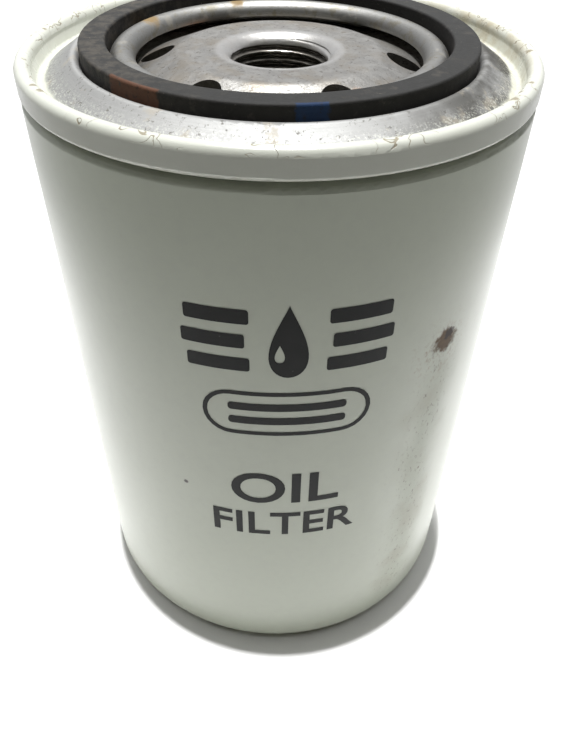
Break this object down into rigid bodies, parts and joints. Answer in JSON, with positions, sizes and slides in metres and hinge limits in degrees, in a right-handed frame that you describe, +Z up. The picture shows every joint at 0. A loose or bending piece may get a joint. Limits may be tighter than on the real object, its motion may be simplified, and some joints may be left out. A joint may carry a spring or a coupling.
{
  "type": "oil filter",
  "caption": "Spin-on oil filter: painted can with a rolled seam, threaded base plate, ring gasket, pleated element on a spring, drain-back flap and bypass valve.",
  "frame": {"origin": "centre of the can's closed base, at the height of the foot ring it stands on", "axes": "+Z up along the can's axis towards the thread and the gasket; -Y is the printed front of the can"},
  "size_m": [0.0942, 0.0942, 0.1328],
  "materials": {
    "can_paint": "gloss",
    "lid_metal": "satin",
    "sealant": "matte",
    "plate_metal": "satin",
    "gasket_rubber": "matte",
    "spring_steel": "satin",
    "seat_steel": "satin",
    "cap_steel": "satin",
    "plastisol": "matte",
    "pleated_paper": "matte",
    "clip_steel": "satin",
    "tube_steel": "satin",
    "valve_rubber": "matte",
    "poppet_steel": "satin",
    "seal_rubber": "matte"
  },
  "bodies": {
    "housing": {"can": "can_paint", "seam_lid": "lid_metal", "seam_sealant": "sealant", "thread_plate": "plate_metal", "gasket": "gasket_rubber", "support_spring": "spring_steel"},
    "element": {"spring_seat": "seat_steel", "bottom_end_cap": "cap_steel", "bottom_potting": "plastisol", "filter_media": "pleated_paper", "media_seam_clip": "clip_steel", "centre_tube": "tube_steel", "top_potting": "plastisol", "top_end_cap": "cap_steel", "bypass_seat": "seat_steel", "bypass_cage": "cap_steel", "bypass_spring": "spring_steel"},
    "bypass_valve": {"bypass_poppet": "poppet_steel", "bypass_seal": "seal_rubber"},
    "drainback_lip": {"drainback_valve": "valve_rubber"}
  },
  "joints": [
    {"name": "element_slide", "type": "slide", "parent": "housing", "child": "element", "axis": [0, 0, -1], "range_m": [0, 0.002], "stiffness_N_per_m": 4000, "springref_m": -0.008, "deforming": ["support_spring"]},
    {"name": "bypass_poppet_lift", "type": "slide", "parent": "element", "child": "bypass_valve", "axis": [0, 0, 1], "range_m": [0, 0.003], "stiffness_N_per_m": 600, "springref_m": -0.012, "deforming": ["bypass_spring"]},
    {"name": "drainback_lip_drop", "type": "slide", "parent": "element", "child": "drainback_lip", "axis": [0, 0, -1], "range_m": [0, 0.0015], "stiffness_N_per_m": 200, "springref_m": -0.001, "deforming": ["drainback_valve"]}
  ]
}
